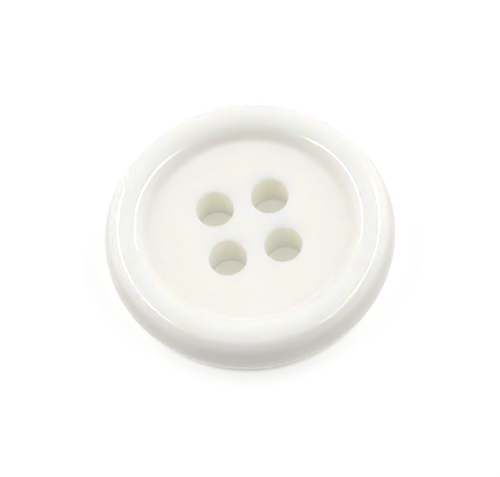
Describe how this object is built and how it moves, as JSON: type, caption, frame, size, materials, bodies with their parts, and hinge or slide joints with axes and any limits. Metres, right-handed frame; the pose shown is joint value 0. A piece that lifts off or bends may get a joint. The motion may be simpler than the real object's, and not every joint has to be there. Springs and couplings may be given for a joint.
{
  "type": "sew-through button",
  "caption": "Round sew-through garment button with a raised rounded rim, a flat dished face pierced by thread holes, and a flat back.",
  "frame": {"origin": "centre of the flat back, on the axis the blank is turned about", "axes": "+Z out of the flat back and up through the dished face, X and Y along the sides of the square that the thread holes make"},
  "size_m": [0.015, 0.015, 0.003],
  "materials": {
    "resin": "polished"
  },
  "bodies": {
    "root": {"button_body": "resin"}
  },
  "joints": []
}
